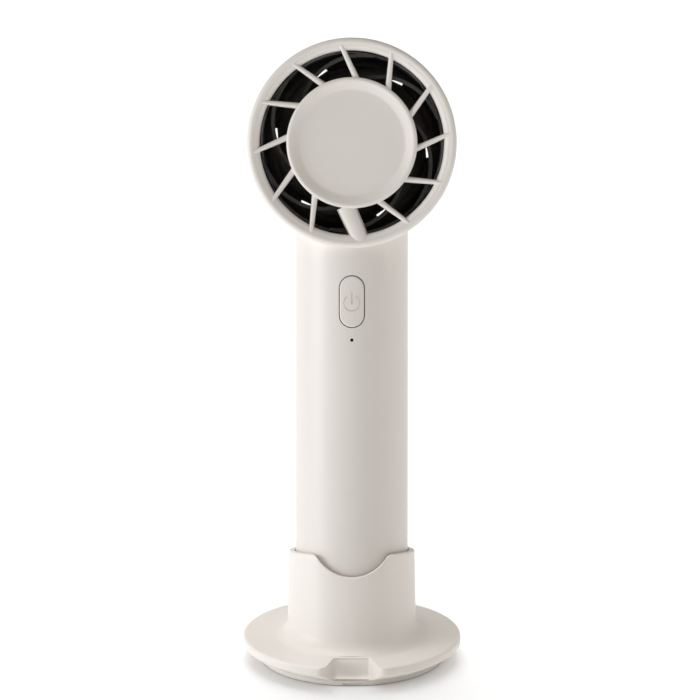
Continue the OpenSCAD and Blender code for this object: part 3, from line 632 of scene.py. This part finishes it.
def front_angle(r):
    """Angle of a blade's front edge at a radius, read off straight runs between points."""
    for (r0, a0), (r1, a1) in zip(FRONT_EDGE, FRONT_EDGE[1:]):
        if r <= r1:
            return a0 + (a1 - a0) * (r - r0) / (r1 - r0)
    return FRONT_EDGE[-1][1]


def blade_turn(r):
    """How far a blade turns towards the back; slightly less where the slit shows."""
    return BLADE_TURN - SLIT_TURN * math.exp(-((r - SLIT_R) / SLIT_SPREAD) ** 2)


def impeller_cup():
    """Cup that the blades stand on, with the well for the motor."""
    cup = [(0, -7.0), (19.4, -7.0)] + arc(19.4, -6.2, 0.8, -90, 0, 6) + [(20.2, 8.6)]
    cup += arc(19.7, 8.7, 0.5, 0, 90, 5) + [(18.9, 9.2), (18.6, 8.9), (18.6, -5.2), (15.0, -5.2)]
    cup += [(15.0, 0.5), (13.2, 0.5), (13.2, -5.2), (4.0, -5.2), (4.0, -2.5), (1.0, -2.5)]
    return cup + [(1.0, -5.2), (0, -5.2)]


def blade_sides(base, rows, cols):
    """Two grids of points, one for each side of a twisted blade that thins to the back."""
    def mid(r, s):
        a = math.radians(base + front_angle(r) + blade_turn(r) * s)
        return Vector((r * math.cos(a), r * math.sin(a), BLADE_FRONT - BLADE_DEEP * s))

    near, far = [], []
    dr, ds = 0.15, 0.01
    for i in range(rows + 1):
        r = BLADE_ROOT + (BLADE_TIP - BLADE_ROOT) * (i / rows)
        row_near, row_far = [], []
        for k in range(cols + 1):
            s = k / cols
            along = mid(min(BLADE_TIP, r + dr), s) - mid(max(BLADE_ROOT - 0.05, r - dr), s)
            back = mid(r, min(1, s + ds)) - mid(r, max(0, s - ds))
            normal = along.cross(back).normalized()
            normal.z *= 0.35
            half = BLADE_THICK / 2 * (1.0 - 0.55 * s)
            for row, side in ((row_near, 1), (row_far, -1)):
                pt = mid(r, s) + normal * half * side
                reach = math.hypot(pt.x, pt.y)
                if reach > BLADE_TIP:
                    pt.x *= BLADE_TIP / reach
                    pt.y *= BLADE_TIP / reach
                row.append(pt)
        near.append(row_near)
        far.append(row_far)
    return near, far


def blade_mesh(bm, near, far):
    """Closes the two sides of a blade with strips along its four edges."""
    rows, cols = len(near) - 1, len(near[0]) - 1
    va = [[bm.verts.new(p) for p in row] for row in near]
    vb = [[bm.verts.new(p) for p in row] for row in far]
    for i in range(rows):
        for k in range(cols):
            bm.faces.new((va[i][k], va[i + 1][k], va[i + 1][k + 1], va[i][k + 1]))
            bm.faces.new((vb[i][k], vb[i][k + 1], vb[i + 1][k + 1], vb[i + 1][k]))
    for i in range(rows):
        bm.faces.new((va[i][0], vb[i][0], vb[i + 1][0], va[i + 1][0]))
        bm.faces.new((va[i][cols], va[i + 1][cols], vb[i + 1][cols], vb[i][cols]))
    for k in range(cols):
        bm.faces.new((va[0][k], va[0][k + 1], vb[0][k + 1], vb[0][k]))
        bm.faces.new((va[rows][k], vb[rows][k], vb[rows][k + 1], va[rows][k + 1]))


def build_impeller():
    bm = bmesh.new()
    lathe(bm, impeller_cup(), 192)
    for b in range(BLADES):
        near, far = blade_sides(BLADE_FIRST + b * 360.0 / BLADES, 26, 26)
        blade_mesh(bm, near, far)
    make_piece(bm, "impeller_blades", HEAD, "impeller", gloss_black, "impeller", 35.0)


build_impeller()

# ------------------------------------------------------------------ floor, light and camera
def build_floor(size=4.0):
    mat, nodes, links, shader = new_material("floor_white")
    shader.inputs["Base Color"].default_value = (0.88, 0.885, 0.89, 1)
    shader.inputs["Roughness"].default_value = 0.7
    shader.inputs["Specular IOR Level"].default_value = 0.1
    bm = bmesh.new()
    corners = [bm.verts.new((x * size, y * size, 0)) for x, y in ((-1, -1), (1, -1), (1, 1), (-1, 1))]
    bm.faces.new(corners)
    floor = loose(bm, "floor")
    floor.data.materials.append(mat)
    return floor


def light_group(name, piece, state="INCLUDE"):
    """Collection that says which piece a light reaches, or with EXCLUDE leaves out."""
    group = bpy.data.collections.new(name)
    group.objects.link(piece)
    group.collection_objects[0].light_linking.link_state = state
    return group


def lamp(name, kind, toward, energy, group):
    """A light of a kind that shines along a direction on a group of pieces."""
    data = bpy.data.lights.new(name, kind)
    data.energy = energy
    obj = bpy.data.objects.new(name, data)
    obj.rotation_euler = Vector(toward).to_track_quat("-Z", "Y").to_euler()
    bpy.context.scene.collection.objects.link(obj)
    obj.light_linking.receiver_collection = group
    return obj


def panel(name, at, width, height, watts, color, group):
    """Soft rectangular light that looks at the middle of the object."""
    obj = lamp(name, "AREA", Vector(LIGHT_AIM) - Vector(at), watts, group)
    obj.location = at
    obj.data.shape = "RECTANGLE"
    obj.data.size, obj.data.size_y = width, height
    obj.data.color = color
    return obj


def sun(name, toward, strength, angle, group):
    """Even light from a disc of sky that is an angle wide, in degrees."""
    obj = lamp(name, "SUN", toward, strength, group)
    obj.data.angle = math.radians(angle)
    return obj


LIGHT_AIM = (0, 0.02, 0.1)
floor = build_floor()
off_floor = light_group("all_but_floor", floor, "EXCLUDE")
panel("key_left", (-1.05, -0.31, 0.3), 0.6, 0.6, 5.7, (0.98, 1.0, 1.04), off_floor)
panel("fill_right", (1.0, -0.1, 0.3), 0.4, 0.9, 0.7, (1.0, 0.96, 0.91), off_floor)
panel("top_soft", (-0.3, 0.1, 1.3), 0.9, 0.9, 2.0, (1.0, 0.975, 0.94), off_floor)
sun("floor_wash", (0.1, -0.38, -1.0), 2.0, 150, light_group("floor_only", floor))
sun("floor_front", (0.08, -0.7, -1.0), 1.75, 48, light_group("floor_near", floor))
sun("stand_wash", (0.10, -0.22, -1.0), 1.35, 40, light_group("stand_only", stand_body))
bounce = sun("bounce", (0.0, 0.05, 1.0), 0.5, 40, light_group("stand_from_below", stand_body))
bounce.light_linking.blocker_collection = light_group("blockers", floor, "EXCLUDE")

world = bpy.data.worlds.new("studio")
bpy.context.scene.world = world
world.use_nodes = True
sky = world.node_tree.nodes["Background"]
sky.inputs["Color"].default_value = (1.0, 0.958, 0.895, 1)
sky.inputs["Strength"].default_value = 0.26

PITCH, DISTANCE, LENS = math.radians(15.2), 1.2, 187.0
target = Vector((-0.6, 19.5, 99.3)) * MM
away = Vector((0, -math.cos(PITCH), math.sin(PITCH)))
camera_data = bpy.data.cameras.new("camera")
camera_data.lens = LENS
camera_data.sensor_width = 36.0
camera_data.clip_start = 0.05
camera_data.clip_end = 20.0
camera = bpy.data.objects.new("camera", camera_data)
camera.location = target + away * DISTANCE
camera.rotation_euler = (-away).to_track_quat("-Z", "Y").to_euler()
bpy.context.scene.collection.objects.link(camera)
bpy.context.scene.camera = camera
bpy.context.scene.view_settings.view_transform = "Standard"
